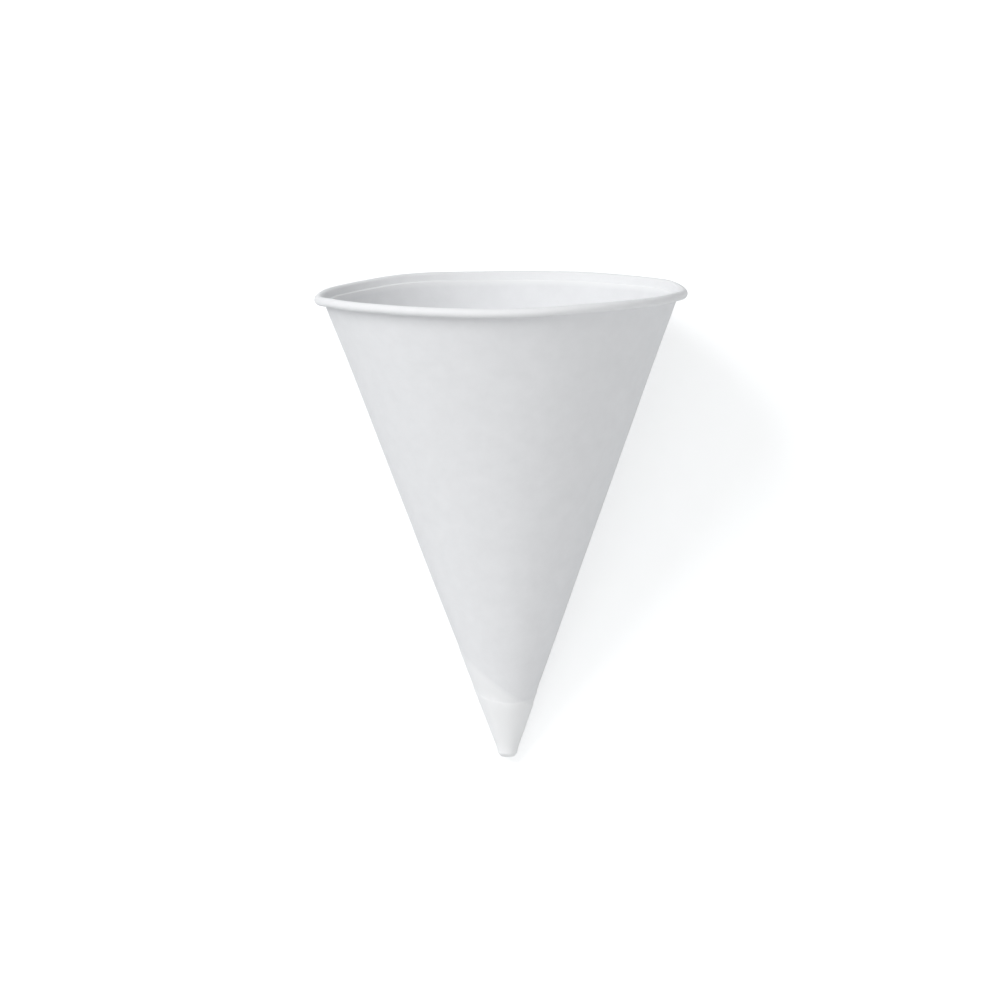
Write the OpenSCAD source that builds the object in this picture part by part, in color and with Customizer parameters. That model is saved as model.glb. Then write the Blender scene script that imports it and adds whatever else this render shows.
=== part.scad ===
// Cone paper cup with a rolled rim, lying on its side as it comes to rest.
// One sheet of paper is wound into a cone, glued along a lap and curled outward at the mouth.
// The cup is drawn upright, with its tip at the origin, and then laid down.
// Lying, it touches the floor with a flat spot of the roll and with the tip.
// Its mouth faces +Y and +Z is up.

/* [Cup] */
// Outside diameter across the rolled rim
rim_d = 70; // [50:0.5:90]
// Height from the blunt tip to the top of the rolled rim
cup_h = 88.2; // [60:0.1:120]

/* [Paper] */
// Thickness of the paper sheet
sheet_t = 0.2; // [0.15:0.01:0.3]
// Step at the cut edge of a covering layer, after pressing
lap_step = 0.12; // [0.06:0.01:0.2]

/* [Rolled rim] */
// Outside diameter of the roll
roll_d = 1.7; // [1.4:0.05:3]
// Lean of the lip between the wall and the roll, from the cup's axis
lip_lean = 24; // [20:0.5:30]
// Gap between the lip and the curled edge inside the roll
curl_gap = 0.12; // [0.05:0.01:0.3]

/* [Side seam] */
// Width of the glued lap down the back
lap_w = 10; // [4:0.5:10]
// Length of the flat spot pressed into the roll where the lap runs through it
flat_w = 8; // [4:0.5:10]

/* [Tip] */
// Diameter of the blunt tip, before its edge is rounded
tip_d = 2.8; // [2:0.1:5]
// Rounding of the blunt tip's edge
tip_round = 0.45; // [0.3:0.05:0.9]
// Height to which folded paper fills the tip
plug_h = 5; // [3:0.5:8]
// Height of the folded tip collar, on the axis
collar_h = 12.8; // [10:0.1:16]
// Slope of the collar's edge
collar_tilt = 22; // [0:0.5:26]
// Turn of the low side of the collar's edge, from the front
collar_turn = 14; // [0:1:90]
// Height of the oblique edge of the tip wrap, on the axis
wrap_h = 14.3; // [13:0.1:20]
// Slope of the wrap's edge
wrap_tilt = 39; // [10:0.5:45]
// Turn of the low side of the wrap's edge, from the front
wrap_turn = 77; // [0:1:90]

/* [Hidden] */
$fn = 180;

// Roll: its section is a circle, and the lip runs a hair inside it so that the two join
rim_r = rim_d / 2;
roll_r = roll_d / 2;
roll_x = rim_r - roll_r;
roll_z = cup_h - roll_r;
lip_bite = sheet_t / 20;
lip_reach = roll_r - lip_bite;
lip_top = [roll_x - lip_reach * cos(lip_lean), roll_z + lip_reach * sin(lip_lean)];
lip_z = cup_h - roll_d;
lip_run = (lip_top[1] - lip_z) / cos(lip_lean);
lip_foot = lip_top - lip_run * [sin(lip_lean), cos(lip_lean)];

// Angles round the roll's section at which the curl starts, inside the lip, and ends
curl_from = 200 - lip_lean;
curl_to = 180 - lip_lean + acos((roll_r - sheet_t - curl_gap) / roll_r);

// Wall: its outer face runs from the core of the tip to the foot of the lip
core_r = tip_d / 2 - 2 * lap_step;
wall_chord = norm([lip_foot[0] - core_r, lip_z]);
half_angle = atan2(lip_foot[0] - core_r, lip_z) + asin(sheet_t / wall_chord);
bend = (half_angle + lip_lean) / 2;
lip_heel = lip_foot + sheet_t / cos(lip_lean - bend) * [cos(bend), -sin(bend)];
lip_back = lip_top + (sheet_t - 2 * lip_bite) * [cos(lip_lean), -sin(lip_lean)];

// Centre of the rounding at the tip's edge, and the end of its arc
round_x = tip_d / 2 - tip_round * (1 - sin(half_angle)) / cos(half_angle);
round_steps = 8;

// Flat spot: the roll is pressed in as far back as the middle of the roll lies at the flat's ends
flat_x = sqrt(roll_x * roll_x - flat_w * flat_w / 4);

// Lying: the floor is the line that touches the flat of the roll and the rounded tip
lie_dx = flat_x - round_x;
lie_dz = roll_z - tip_round;
lie_lean = atan2(lie_dx, lie_dz) + asin((roll_r - tip_round) / norm([lie_dx, lie_dz]));
lie_lift = flat_x * cos(lie_lean) + roll_r - roll_z * sin(lie_lean);
mouth_y = roll_x * sin(lie_lean) + roll_z * cos(lie_lean) + roll_r;
tip_y = tip_round * cos(lie_lean) - round_x * sin(lie_lean) - tip_round;

// Radius at height z of the face that lies out from the wall's outer face, measured square to it
function face_r(z, out = 0) = core_r + z * tan(half_angle) + out / cos(half_angle);

// Sheet from the tip to the lip, in section
module sheet_section() {
    polygon([
        [0, tip_round],
        [face_r(tip_round), tip_round],
        lip_heel,
        lip_back,
        lip_top,
        lip_foot,
        [face_r(plug_h, -sheet_t), plug_h],
        [0, plug_h]
    ]);
}

// Curled edge of the sheet, in section: a tube that stays open beside the lip
module curl_section() {
    translate([roll_x, roll_z])
        difference() {
            circle(roll_r);
            circle(roll_r - sheet_t);
            polygon([
                [0, 0],
                roll_d * [cos(curl_from), sin(curl_from)],
                roll_d * [cos(curl_to), sin(curl_to)]
            ]);
        }
}

// Covering layer from the tip to the lip, rooted in the middle of the sheet
module cover_layer(out) {
    foot_z = (tip_round + plug_h) / 2;
    rotate_extrude()
        polygon([
            [face_r(foot_z, -sheet_t / 2), foot_z],
            [face_r(foot_z, out), foot_z],
            [face_r(lip_z, out), lip_z],
            [face_r(lip_z, -sheet_t / 2), lip_z]
        ]);
}

// Folded end of the tip: a blunt, round-edged plug inside a tall skirt
module tip_fold(skirt_h) {
    foot_z = (tip_round + plug_h) / 2;
    out = tip_d / 2 - core_r;
    arc_end = 90 - half_angle;
    rotate_extrude()
        polygon(concat(
            [[0, 0]],
            [for (i = [0 : round_steps])
                [round_x, tip_round]
                + tip_round * [sin(i / round_steps * arc_end), -cos(i / round_steps * arc_end)]],
            [
                [tip_d / 2 + skirt_h * tan(half_angle), skirt_h],
                [face_r(skirt_h, -sheet_t / 2), skirt_h],
                [face_r(foot_z, -sheet_t / 2), foot_z],
                [0, foot_z]
            ]
        ));
}

// Everything below a plane that crosses the axis at height z and slopes down towards one side
module below_plane(z, tilt, turn) {
    translate([0, 0, z])
        rotate([0, tilt, turn - 90])
            translate([-rim_d, -rim_d, -2 * cup_h])
                cube([2 * rim_d, 2 * rim_d, 2 * cup_h]);
}

// Strip down the back that the lap takes up
module lap_strip() {
    translate([-lap_w / 2, 0, 0])
        cube([lap_w, rim_d, cup_h]);
}

// Lap down the back and oblique wrap round the tip: the one layer that covers the sheet's start
module seam_layer() {
    intersection() {
        cover_layer(lap_step);
        union() {
            lap_strip();
            below_plane(wrap_h, wrap_tilt, wrap_turn);
        }
    }
}

// Lap inside the roll, where two layers curl up and fill it
module lap_in_roll() {
    intersection() {
        rotate_extrude()
            translate([roll_x, roll_z])
                circle(roll_r - sheet_t / 2);
        lap_strip();
    }
}

// Collar folded round the tip, cut off along a sloping ring
module tip_collar() {
    intersection() {
        tip_fold(2 * collar_h);
        below_plane(collar_h, collar_tilt, collar_turn);
    }
}

// The whole cup, upright on its tip, with its front to -Y
module upright_cup() {
    rotate_extrude() {
        sheet_section();
        curl_section();
    }
    seam_layer();
    lap_in_roll();
    tip_collar();
}

// The cup as it lies on its back, centred over its own length, with the roll pressed flat on the floor
module cone_cup() {
    color("whitesmoke")
        difference() {
            translate([0, -(mouth_y + tip_y) / 2, lie_lift])
                rotate([lie_lean - 90, 0, 0])
                    upright_cup();
            translate([-rim_r, 0, -rim_r])
                cube([rim_d, cup_h, rim_r]);
        }
}

cone_cup();
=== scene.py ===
# Cone paper cup with a rolled rim, lying on its side on a white floor.
# The cup is modelled upright in millimetres, with its tip at the origin, and then laid down.
import bpy
from math import acos, asin, atan2, cos, hypot, pi, radians, sin, sqrt, tan
from mathutils import Matrix, Vector


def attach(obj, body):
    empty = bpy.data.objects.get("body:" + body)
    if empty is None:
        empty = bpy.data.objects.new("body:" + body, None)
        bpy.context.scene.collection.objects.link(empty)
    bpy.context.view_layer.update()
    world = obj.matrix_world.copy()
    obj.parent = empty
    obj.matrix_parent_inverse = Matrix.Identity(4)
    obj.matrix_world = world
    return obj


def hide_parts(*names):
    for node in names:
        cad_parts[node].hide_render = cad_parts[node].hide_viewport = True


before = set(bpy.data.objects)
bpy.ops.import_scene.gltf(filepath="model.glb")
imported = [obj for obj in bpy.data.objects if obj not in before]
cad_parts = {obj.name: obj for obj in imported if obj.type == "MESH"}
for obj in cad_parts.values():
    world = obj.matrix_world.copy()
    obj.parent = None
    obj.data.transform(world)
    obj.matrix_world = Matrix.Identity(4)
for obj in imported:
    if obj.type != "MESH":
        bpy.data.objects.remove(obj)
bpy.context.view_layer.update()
bpy.ops.object.select_all(action="DESELECT")

MM = 0.001

# Sizes of the sheet, the rim and the hollow, in millimetres
RIM_R = 35.0
CUP_H = 88.2
SHEET = 0.2
ROLL_R = 0.85
LIP_LEAN = radians(24)
CURL_GAP = 0.12
FLAT_W = 8.0
PLUG_H = 5.0
PLUG_DIP = 1.6
PLUG_KNEE = (0.5, 0.7)

# Crease under the lip: its depth and height, how far down it stays and where it ends
CREASE_DEEP = 0.15
CREASE_HIGH = 0.22
CREASE_STAYS = 1.0
CREASE_ENDS = 3.0

# Layers that cover the sheet: their pressed thickness, and the lap down the back
LAP_STEP = 0.12
LAP_W = 10.0
LAP_RISE = 0.15

# Edges of the wrap and the collar:
# height on the axis, slope, turn of the low side from the front, width of the rise
WRAP = (14.3, radians(39), radians(77), 1.2)
COLLAR = (12.8, radians(22), radians(14), 0.3)
RISE_STEPS = 4

# Blunt tip: its size and rounding in the solid, and the height of the wall's first ring over it.
# Its worn end here is a chamfer, given as radius and height, and how far each point faces down.
TIP_R = 1.4
TIP_ROUND = 0.45
TIP_END = ((1.25, 0.0), (1.82, 0.62), (1.93, 1.3), (2.3, 2.5))
TIP_FACING = (radians(66), radians(30), radians(15), radians(19))
WALL_START = 1.0

# Places round the rim where it is out of true, from the front to the right, and how far up
RIM_WAVES = (
    (radians(-89), -0.52),
    (radians(-108), -0.25),
    (radians(-124), -0.2),
    (radians(-152), 0.22),
    (radians(132), -0.15),
    (radians(92), -0.4),
    (radians(-44), 0.12),
    (radians(0), -0.18),
    (radians(36), 0.12),
)
WAVE_REACH = 13.0

# Waves in the sheet, as it was wound and handled: their length, and their swing from side to side
SHEET_WAVE = 16.0
SHEET_SWING = 0.1

# How far the sheets underneath keep light from passing through, from one sheet to the folded tip,
# with a paler tone painted on the lip and roll as painted light and on the ledge as a painted
# highlight, and how far out from the bare sheet a corner counts as one of the collar
LAPPED_COVER = 0.7
LIP_AND_ROLL_PAINTED_LIGHT = 0.35
FOLDED_COVER_AND_PAINTED_HIGHLIGHT = 1.0
COLLAR_FROM = 1.25 * LAP_STEP

# Fineness of the mesh, the gap at which its corners merge, and the angle up to which it is smooth
AROUND = 256
WALL_STEPS = 44
ROLL_STEPS = 48
HOLLOW_STEPS = 28
MERGE_GAP = 0.002
SMOOTH_UP_TO = radians(28)

# Limits for picking: how far a face of the tip may look up, how far one of the wall looks out,
# and how near the roll's inner line a corner lies
LOOKS_UP = 0.1
LOOKS_OUT = 0.5
ON_LINE = 0.02

# The view: its rise over the rim's plane, its roll, and what it aims at, from the rim's centre
VIEW_RISE = radians(6.5719)
VIEW_ROLL = radians(0.8244)
VIEW_OFF = (-0.1692, -38.6503)
VIEW_DISTANCE = 3000.0
VIEW_LENS = 576.573
VIEW_SENSOR = 36.0

# The floor, in metres across, a hair under the cup, and what brightens it to the eye
FLOOR_SIZE = 6.0
FLOOR_DROP = 0.1
FLOOR_GLOW = 0.5

# The light comes mostly from the upper left, with weaker panels low at the right and near the tip.
# Each panel has its direction from the cup, its distance and size in metres, and its watts.
SKY_FILL = 0.8
PANELS = {
    "key_panel": ((-0.58, 0.36, 0.72), 1.2, 0.8, 8.8),
    "right_panel": ((0.9, -0.3, 0.15), 1.2, 0.7, 3.1),
    "tip_panel": ((-0.3, -0.9, 0.35), 0.32, 0.2, 0.16),
}

# Places that follow from the sizes
ROLL_X = RIM_R - ROLL_R
ROLL_Z = CUP_H - ROLL_R
LIP_Z = CUP_H - 2 * ROLL_R
LIP_TOP = (ROLL_X - ROLL_R * cos(LIP_LEAN), ROLL_Z + ROLL_R * sin(LIP_LEAN))
LIP_FOOT = (LIP_TOP[0] - (LIP_TOP[1] - LIP_Z) * tan(LIP_LEAN), LIP_Z)
CORE_R = TIP_R - 2 * LAP_STEP
HALF = (atan2(LIP_FOOT[0] - CORE_R, LIP_Z)
        + asin(SHEET / hypot(LIP_FOOT[0] - CORE_R, LIP_Z)))
BEND = (HALF + LIP_LEAN) / 2
HEEL_OUT = SHEET / cos(LIP_LEAN - BEND)
LIP_HEEL = (LIP_FOOT[0] + HEEL_OUT * cos(BEND), LIP_FOOT[1] - HEEL_OUT * sin(BEND))
COLLAR_OUT = 2 * LAP_STEP * cos(HALF)

# The cup lies on the flat of its roll and on the rounding of its tip
ROUND_X = TIP_R - TIP_ROUND * (1 - sin(HALF)) / cos(HALF)
FLAT_X = sqrt(ROLL_X ** 2 - FLAT_W ** 2 / 4)
LIE_DX = FLAT_X - ROUND_X
LIE_DZ = ROLL_Z - TIP_ROUND
LEAN = atan2(LIE_DX, LIE_DZ) + asin((ROLL_R - TIP_ROUND) / hypot(LIE_DX, LIE_DZ))
LIFT = FLAT_X * cos(LEAN) + ROLL_R - ROLL_Z * sin(LEAN)
MOUTH_Y = ROLL_X * sin(LEAN) + ROLL_Z * cos(LEAN) + ROLL_R
TIP_Y = TIP_ROUND * cos(LEAN) - ROUND_X * sin(LEAN) - TIP_ROUND
SHIFT = -(MOUTH_Y + TIP_Y) / 2


def outer_r(z):
    """Radius of the bare sheet's outer face at height z."""
    return CORE_R + z * tan(HALF)


def inner_r(z):
    """Radius of the sheet's inner face at height z."""
    return outer_r(z) - SHEET / cos(HALF)


def steps(start, end, count):
    """Evenly spaced numbers, both ends included."""
    return [start + (end - start) * i / count for i in range(count + 1)]


def arc(centre, radius, start, end, count):
    """Points of an arc in the section, both ends included."""
    return [(centre[0] + radius * cos(a), centre[1] + radius * sin(a))
            for a in steps(start, end, count)]


def cup_section():
    """Section of the sheet from the tip, up the outside, round the curl and down the inside."""
    # The tip lies under layers that are raised later, so it is drawn that much smaller
    tip = [(r - COLLAR_OUT * cos(facing), z + COLLAR_OUT * sin(facing))
           for (r, z), facing in zip(TIP_END, TIP_FACING)]
    wall_foot = tip[-1][1] + WALL_START
    outside = [(outer_r(z), z) for z in steps(wall_foot, LIP_HEEL[1], WALL_STEPS)[:-1]]
    roll = (ROLL_X, ROLL_Z)
    lip_turn = pi - LIP_LEAN
    curl_end = acos((ROLL_R - SHEET - CURL_GAP) / ROLL_R) - pi - LIP_LEAN
    hollow = arc(roll, ROLL_R - SHEET, lip_turn, curl_end, HOLLOW_STEPS)
    roll_face = arc(roll, ROLL_R, curl_end, lip_turn, ROLL_STEPS)
    # A pressed ledge runs round the foot of the lip and fades out down the wall
    crease = [
        (LIP_FOOT[0] + CREASE_DEEP, LIP_FOOT[1] + CREASE_HIGH),
        (LIP_FOOT[0] - CREASE_DEEP, LIP_FOOT[1]),
        (inner_r(LIP_Z - CREASE_STAYS) - CREASE_DEEP, LIP_Z - CREASE_STAYS),
    ]
    inside = [(inner_r(z), z) for z in steps(LIP_Z - CREASE_ENDS, PLUG_H, WALL_STEPS)]
    # The folded paper closes the hollow in a shallow funnel with a knee
    knee = (PLUG_KNEE[0] * inner_r(PLUG_H), PLUG_H - PLUG_KNEE[1] * PLUG_DIP)
    funnel = [knee, (0, PLUG_H - PLUG_DIP)]
    return ([(0, COLLAR_OUT)] + tip + outside + [LIP_HEEL] + hollow + roll_face
            + crease + inside + funnel)


def pick(cup, kind, test):
    """Leaves edit mode with only the faces or corners selected that pass the test."""
    bpy.ops.object.mode_set(mode="EDIT")
    bpy.ops.mesh.select_mode(type=kind)
    bpy.ops.mesh.select_all(action="DESELECT")
    bpy.ops.object.mode_set(mode="OBJECT")
    for element in cup.data.polygons if kind == "FACE" else cup.data.vertices:
        element.select = test(element)
    bpy.ops.object.mode_set(mode="EDIT")


def is_outside(face):
    """True for the outer face of the wall and of the blunt tip, up to the lip."""
    x, y, z = face.center / MM
    outward = (face.normal.x * x + face.normal.y * y) / max(hypot(x, y), SHEET)
    if z < 2 * TIP_ROUND:
        return face.normal.z < LOOKS_UP
    return z < LIP_HEEL[1] and outward > LOOKS_OUT


def is_below(face, edge, down):
    """True for a face under the line that runs a given way down from a layer's sloping edge."""
    height, tilt, turn, _ = edge
    x, y, z = face.center / MM
    toward = x * sin(turn) - y * cos(turn)
    return z < height - down - toward * tan(tilt)


def is_in_lap(face):
    """True for the strip down the back that the lap takes up, inside its rising edges."""
    x, y, _ = face.center / MM
    return y > 0 and abs(x) < LAP_W / 2 - LAP_RISE


def score(cup, test, place, square):
    """Cuts a line into the faces that pass the test, where a plane crosses them."""
    pick(cup, "FACE", test)
    bpy.ops.mesh.bisect(plane_co=[c * MM for c in place], plane_no=square)


def raise_layer(cup, edge, out, beside=lambda face: False):
    """Lifts the outer face under a sloping edge, and the strip beside it, in a few small steps."""
    height, tilt, turn, rise = edge
    square = (sin(tilt) * sin(turn), -sin(tilt) * cos(turn), cos(tilt))
    lines = steps(0, rise, RISE_STEPS)
    for down in lines:
        score(cup, is_outside, (0, 0, height - down), square)
    for down in lines[1:]:
        pick(cup, "FACE", lambda face: is_outside(face)
             and (is_below(face, edge, down) or beside(face)))
        bpy.ops.transform.shrink_fatten(value=out / RISE_STEPS * MM)


def note_ply_and_painted_light(cup):
    """Notes at each corner how far further sheets underneath keep light from passing through, and
    where a paler tone is painted on the lip, the roll and the ledge as painted light.
    """
    ply_and_painted_light = cup.data.attributes.new("ply_and_painted_light", "FLOAT", "POINT")
    for corner, note in zip(cup.data.vertices, ply_and_painted_light.data):
        x, y, z = corner.co / MM
        beyond = (hypot(x, y) - outer_r(z)) * cos(HALF)
        on_tip = z < TIP_ROUND or (beyond > COLLAR_FROM and z < CUP_H / 2)
        # Painted highlight: the ledge under the lip gets the folded tip's paler tone, standing in
        # for the light that it catches
        painted_highlight_on_ledge = beyond < -SHEET and abs(z - LIP_Z) < CREASE_HIGH / 2
        if on_tip or painted_highlight_on_ledge:
            note.value = FOLDED_COVER_AND_PAINTED_HIGHLIGHT
        # Painted light: the lip and the roll get a paler tone, standing in for the light that they
        # catch
        elif z > LIP_Z + CREASE_HIGH / 2:
            note.value = LIP_AND_ROLL_PAINTED_LIGHT
        elif z < LIP_HEEL[1] - LAP_STEP:
            note.value = LAPPED_COVER * min(max(beyond / LAP_STEP, 0), 1)


def wave_rim(cup):
    """Pulls the rim a little out of true, with the wall near it."""
    for turn, lift in RIM_WAVES:
        spot = Vector((ROLL_X * sin(turn), -ROLL_X * cos(turn), ROLL_Z)) * MM
        pick(cup, "VERT", lambda corner: (corner.co - spot).length < 2 * ROLL_R * MM)
        bpy.ops.transform.translate(
            value=(0, 0, lift * MM), use_proportional_edit=True,
            proportional_edit_falloff="SMOOTH", proportional_size=WAVE_REACH * MM)
    bpy.ops.object.mode_set(mode="OBJECT")


def lay_down(cup):
    """Lays the cup on its back."""
    cup.rotation_euler = (LEAN - pi / 2, 0, 0)
    cup.location = (0, SHIFT * MM, LIFT * MM)
    bpy.ops.object.transform_apply(location=True, rotation=True, scale=True)


def wave_sheet(cup):
    """Gives the whole sheet its long, low waves."""
    waves = bpy.data.textures.new("sheet_waves", "CLOUDS")
    waves.cloud_type = "COLOR"
    waves.noise_scale = SHEET_WAVE * MM
    uneven = cup.modifiers.new("uneven_sheet", "DISPLACE")
    uneven.texture = waves
    uneven.texture_coords = "LOCAL"
    uneven.direction = "RGB_TO_XYZ"
    uneven.strength = SHEET_SWING * MM
    bpy.ops.object.modifier_apply(modifier=uneven.name)


def roll_inner_side(cup):
    """Numbers of the corners on the inner side of the roll."""
    line = ROLL_R - SHEET
    found = set()
    for corner in cup.data.vertices:
        x, y, z = corner.co / MM
        if abs(line - hypot(hypot(x, y) - ROLL_X, z - ROLL_Z)) < ON_LINE:
            found.add(corner.index)
    return found


def press_flat(cup, inner_side):
    """Presses the roll and tip flat on the floor, with the roll's inner side a sheet higher."""
    floor_tests = (
        (0, lambda corner: corner.co.z < 0),
        (SHEET * MM, lambda corner: corner.co.z < SHEET * MM and corner.index in inner_side),
    )
    for level, test in floor_tests:
        pick(cup, "VERT", test)
        bpy.ops.transform.resize(value=(1, 1, 0), center_override=(0, 0, level))
    bpy.ops.object.mode_set(mode="OBJECT")


def model_cup():
    """The whole cup as one closed sheet, laid down as it rests."""
    bpy.ops.mesh.primitive_plane_add(size=MM)
    cup = bpy.context.object
    cup.name = "paper_cone_cup"
    bpy.ops.object.mode_set(mode="EDIT")
    bpy.ops.mesh.select_all(action="SELECT")
    bpy.ops.mesh.merge(type="CENTER")
    # The section is drawn corner by corner and spun round the axis
    section = cup_section()
    bpy.ops.transform.translate(value=(section[0][0] * MM, 0, section[0][1] * MM))
    for (r0, z0), (r1, z1) in zip(section, section[1:]):
        bpy.ops.mesh.extrude_region_move(
            TRANSFORM_OT_translate={"value": ((r1 - r0) * MM, 0, (z1 - z0) * MM)})
    bpy.ops.mesh.select_all(action="SELECT")
    bpy.ops.mesh.spin(steps=AROUND, angle=2 * pi, center=(0, 0, 0), axis=(0, 0, 1))
    bpy.ops.mesh.select_all(action="SELECT")
    bpy.ops.mesh.remove_doubles(threshold=MERGE_GAP * MM)
    bpy.ops.mesh.normals_make_consistent(inside=False)
    # The lap and the wrap are one layer on the sheet, and the collar lies over the wrap
    for side in (-1, 1):
        for x in (LAP_W / 2, LAP_W / 2 - LAP_RISE):
            score(cup, lambda face: is_outside(face) and face.center.y > 0,
                  (side * x, 0, 0), (1, 0, 0))
    raise_layer(cup, WRAP, LAP_STEP, beside=is_in_lap)
    raise_layer(cup, COLLAR, COLLAR_OUT - LAP_STEP)
    bpy.ops.object.mode_set(mode="OBJECT")
    note_ply_and_painted_light(cup)
    inner_side = roll_inner_side(cup)
    wave_rim(cup)
    lay_down(cup)
    wave_sheet(cup)
    press_flat(cup, inner_side)
    bpy.ops.object.shade_smooth_by_angle(angle=SMOOTH_UP_TO)
    return cup


def linear(code):
    """An sRGB hex colour as linear numbers with full opacity."""
    parts = [int(code[i:i + 2], 16) / 255 for i in (1, 3, 5)]
    return [c / 12.92 if c <= 0.04045 else ((c + 0.055) / 1.055) ** 2.4 for c in parts] + [1.0]


def add_node(tree, kind, settings=None, inputs=None, links=None):
    """Adds a node, sets it and links its inputs to other nodes' outputs."""
    node = tree.nodes.new(kind)
    for name, value in (settings or {}).items():
        setattr(node, name, value)
    for name, value in (inputs or {}).items():
        node.inputs[name].default_value = value
    for name, source in (links or {}).items():
        tree.links.new(source, node.inputs[name])
    return node


def cup_paper():
    """Bleached uncoated cup paper, pressed on the winding mandrel.

    The eye gets a matt, faintly cloudy cool white with a soft tooth, paler where sheets overlap,
    and painted paler on the lip, the roll and the ledge under the lip as painted light.
    """
    paper = bpy.data.materials.new("bleached_cup_paper")
    paper.use_nodes = True
    tree = paper.node_tree
    shader = tree.nodes["Principled BSDF"]
    place = add_node(tree, "ShaderNodeTexCoord").outputs["Object"]
    # Clouds of denser and thinner pulp, about 3 mm across
    pulp = add_node(tree, "ShaderNodeTexNoise",
                    inputs={"Scale": 1 / (3 * MM), "Detail": 3.0, "Roughness": 0.6},
                    links={"Vector": place}).outputs["Fac"]
    # A Mix node's colours are its inputs 6 and 7, and its output 2
    single = add_node(tree, "ShaderNodeMix", {"data_type": "RGBA"},
                      inputs={6: linear("#E4E5E7"), 7: linear("#EDEEF0")}, links={0: pulp})
    # The paler tone marks where sheets overlap, and is also painted on the lip, the roll and the
    # ledge under it as painted light
    ply_and_painted_light = add_node(tree, "ShaderNodeAttribute", {"attribute_name": "ply_and_painted_light"}).outputs["Fac"]
    tone = add_node(tree, "ShaderNodeMix", {"data_type": "RGBA"},
                    inputs={7: linear("#F1F2F3")}, links={0: ply_and_painted_light, 6: single.outputs[2]})
    rough = add_node(tree, "ShaderNodeMapRange", inputs={"To Min": 0.84, "To Max": 0.94},
                     links={"Value": pulp})
    # Fibres of about 0.2 by 2 mm, drawn 0.5 by 3 mm so that they show
    lie = add_node(tree, "ShaderNodeMapping",
                   inputs={"Rotation": (0.3, 0.5, 0.4), "Scale": (1, 6, 6)},
                   links={"Vector": place})
    fibre = add_node(tree, "ShaderNodeTexNoise",
                     inputs={"Scale": 1 / (3 * MM), "Detail": 2.0, "Distortion": 1.2},
                     links={"Vector": lie.outputs["Vector"]})
    # Tooth left by the felt, about 0.3 mm, drawn 0.6 mm so that it shows
    tooth = add_node(tree, "ShaderNodeTexNoise",
                     inputs={"Scale": 1 / (0.6 * MM), "Detail": 4.0}, links={"Vector": place})
    height = add_node(tree, "ShaderNodeMath", {"operation": "ADD"},
                      links={0: fibre.outputs["Fac"], 1: tooth.outputs["Fac"]})
    bump = add_node(tree, "ShaderNodeBump", inputs={"Strength": 0.5, "Distance": 0.02 * MM},
                    links={"Height": height.outputs["Value"]})
    tree.links.new(tone.outputs[2], shader.inputs["Base Color"])
    tree.links.new(rough.outputs["Result"], shader.inputs["Roughness"])
    tree.links.new(bump.outputs["Normal"], shader.inputs["Normal"])
    shader.inputs["IOR"].default_value = 1.5
    return paper


def seen_share(tree):
    """1 for rays that show a thing to the eye, also mirrored or through glass, and 0 for light."""
    path = add_node(tree, "ShaderNodeLightPath").outputs
    bent = add_node(tree, "ShaderNodeMath", {"operation": "MAXIMUM"},
                    links={0: path["Is Glossy Ray"], 1: path["Is Transmission Ray"]})
    seen = add_node(tree, "ShaderNodeMath", {"operation": "MAXIMUM"},
                    links={0: path["Is Camera Ray"], 1: bent.outputs["Value"]})
    return seen.outputs["Value"]


def white_floor():
    """A matt white floor that shows the cup's shadow and runs out into a white background."""
    paint = bpy.data.materials.new("matt_white_floor_paint")
    paint.use_nodes = True
    tree = paint.node_tree
    tree.nodes.remove(tree.nodes["Principled BSDF"])
    lift = add_node(tree, "ShaderNodeMath", {"operation": "MULTIPLY"},
                    inputs={1: FLOOR_GLOW}, links={0: seen_share(tree)})
    matt = add_node(tree, "ShaderNodeBsdfDiffuse", inputs={"Color": linear("#DADCDD")})
    glow = add_node(tree, "ShaderNodeEmission", links={"Strength": lift.outputs["Value"]})
    both = add_node(tree, "ShaderNodeAddShader",
                    links={0: matt.outputs["BSDF"], 1: glow.outputs["Emission"]})
    tree.links.new(both.outputs["Shader"], tree.nodes["Material Output"].inputs["Surface"])
    bpy.ops.mesh.primitive_plane_add(size=FLOOR_SIZE, location=(0, 0, -FLOOR_DROP * MM))
    floor = bpy.context.object
    floor.name = "floor"
    floor.data.materials.append(paint)


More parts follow.
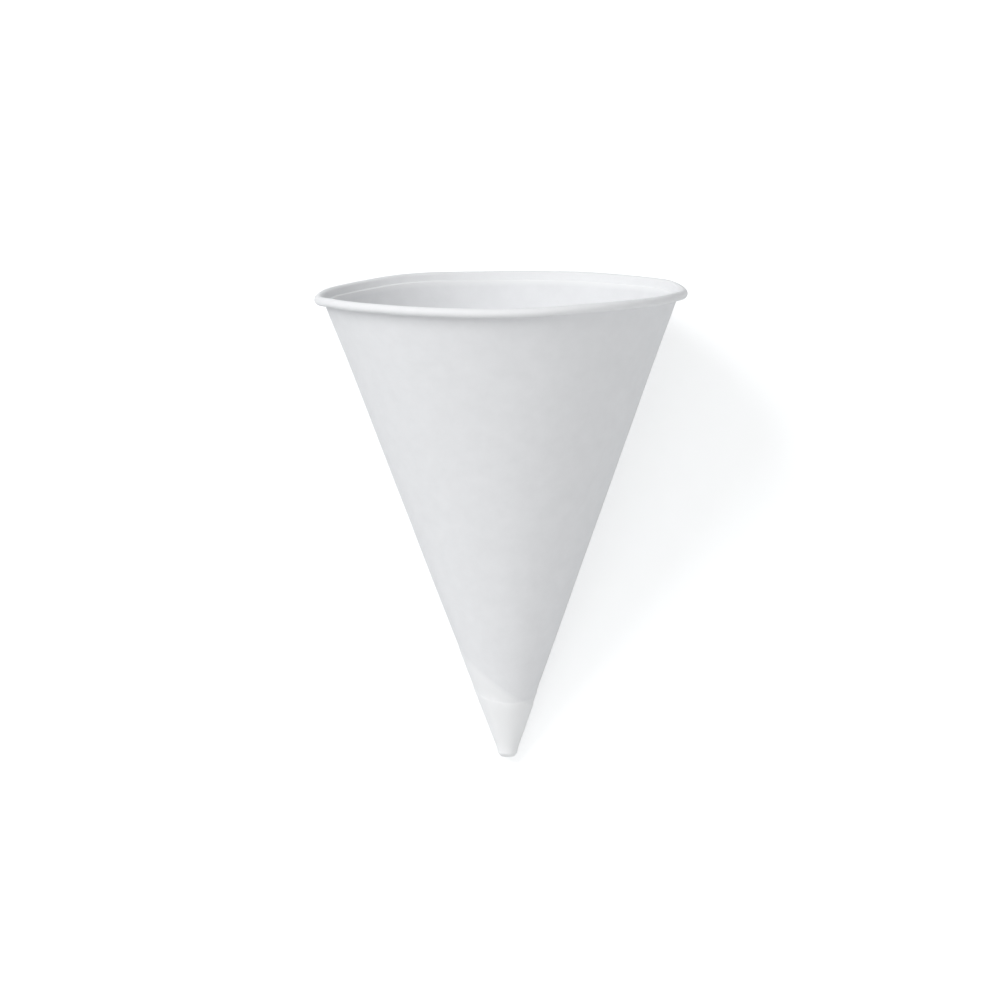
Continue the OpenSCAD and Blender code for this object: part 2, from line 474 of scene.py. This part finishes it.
def studio_world():
    """White surroundings, whose light fills the shadows and grows towards the top."""
    world = bpy.data.worlds.new("white_studio")
    bpy.context.scene.world = world
    world.use_nodes = True
    tree = world.node_tree
    place = add_node(tree, "ShaderNodeTexCoord").outputs["Generated"]
    height = add_node(tree, "ShaderNodeSeparateXYZ", links={"Vector": place}).outputs["Z"]
    light = add_node(tree, "ShaderNodeMath", {"operation": "MULTIPLY", "use_clamp": True},
                     inputs={1: SKY_FILL}, links={0: height}).outputs["Value"]
    level = add_node(tree, "ShaderNodeMapRange", inputs={"To Max": 1.0},
                     links={"Value": seen_share(tree), "To Min": light})
    sky = tree.nodes["Background"]
    sky.inputs["Color"].default_value = (1, 1, 1, 1)
    tree.links.new(level.outputs["Result"], sky.inputs["Strength"])


def photo_camera():
    """Makes the camera, which looks down on the lying cup, and gives the point it aims at."""
    rim_centre = Vector((0, SHIFT + ROLL_Z * cos(LEAN), LIFT + ROLL_Z * sin(LEAN)))
    dip = LEAN - VIEW_RISE
    back = Vector((0, -sin(dip), cos(dip)))
    level_up = Vector((0, cos(dip), sin(dip)))
    level_right = Vector((1, 0, 0))
    right = cos(VIEW_ROLL) * level_right - sin(VIEW_ROLL) * level_up
    up = sin(VIEW_ROLL) * level_right + cos(VIEW_ROLL) * level_up
    aim = (rim_centre + VIEW_OFF[0] * right + VIEW_OFF[1] * up) * MM
    turn = Matrix((right, up, back)).transposed()
    bpy.ops.object.camera_add(location=aim + back * VIEW_DISTANCE * MM, rotation=turn.to_euler())
    camera = bpy.context.object
    camera.data.lens = VIEW_LENS
    camera.data.sensor_width = VIEW_SENSOR
    bpy.context.scene.camera = camera
    return aim


def soft_lamp(name, aim, toward, distance, size, power):
    """A soft round panel that faces the cup from the given direction."""
    toward = Vector(toward).normalized()
    bpy.ops.object.light_add(type="AREA", location=aim + toward * distance)
    lamp = bpy.context.object
    lamp.name = name
    lamp.rotation_euler = toward.to_track_quat("Z", "Y").to_euler()
    lamp.data.shape = "DISK"
    lamp.data.size = size
    lamp.data.energy = power


cup = model_cup()
cup.data.materials.append(cup_paper())
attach(cup, "root")
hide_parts("cone_cup")

aim = photo_camera()
white_floor()
studio_world()
for name, panel in PANELS.items():
    soft_lamp(name, aim, *panel)

bpy.context.scene.view_settings.view_transform = "Standard"
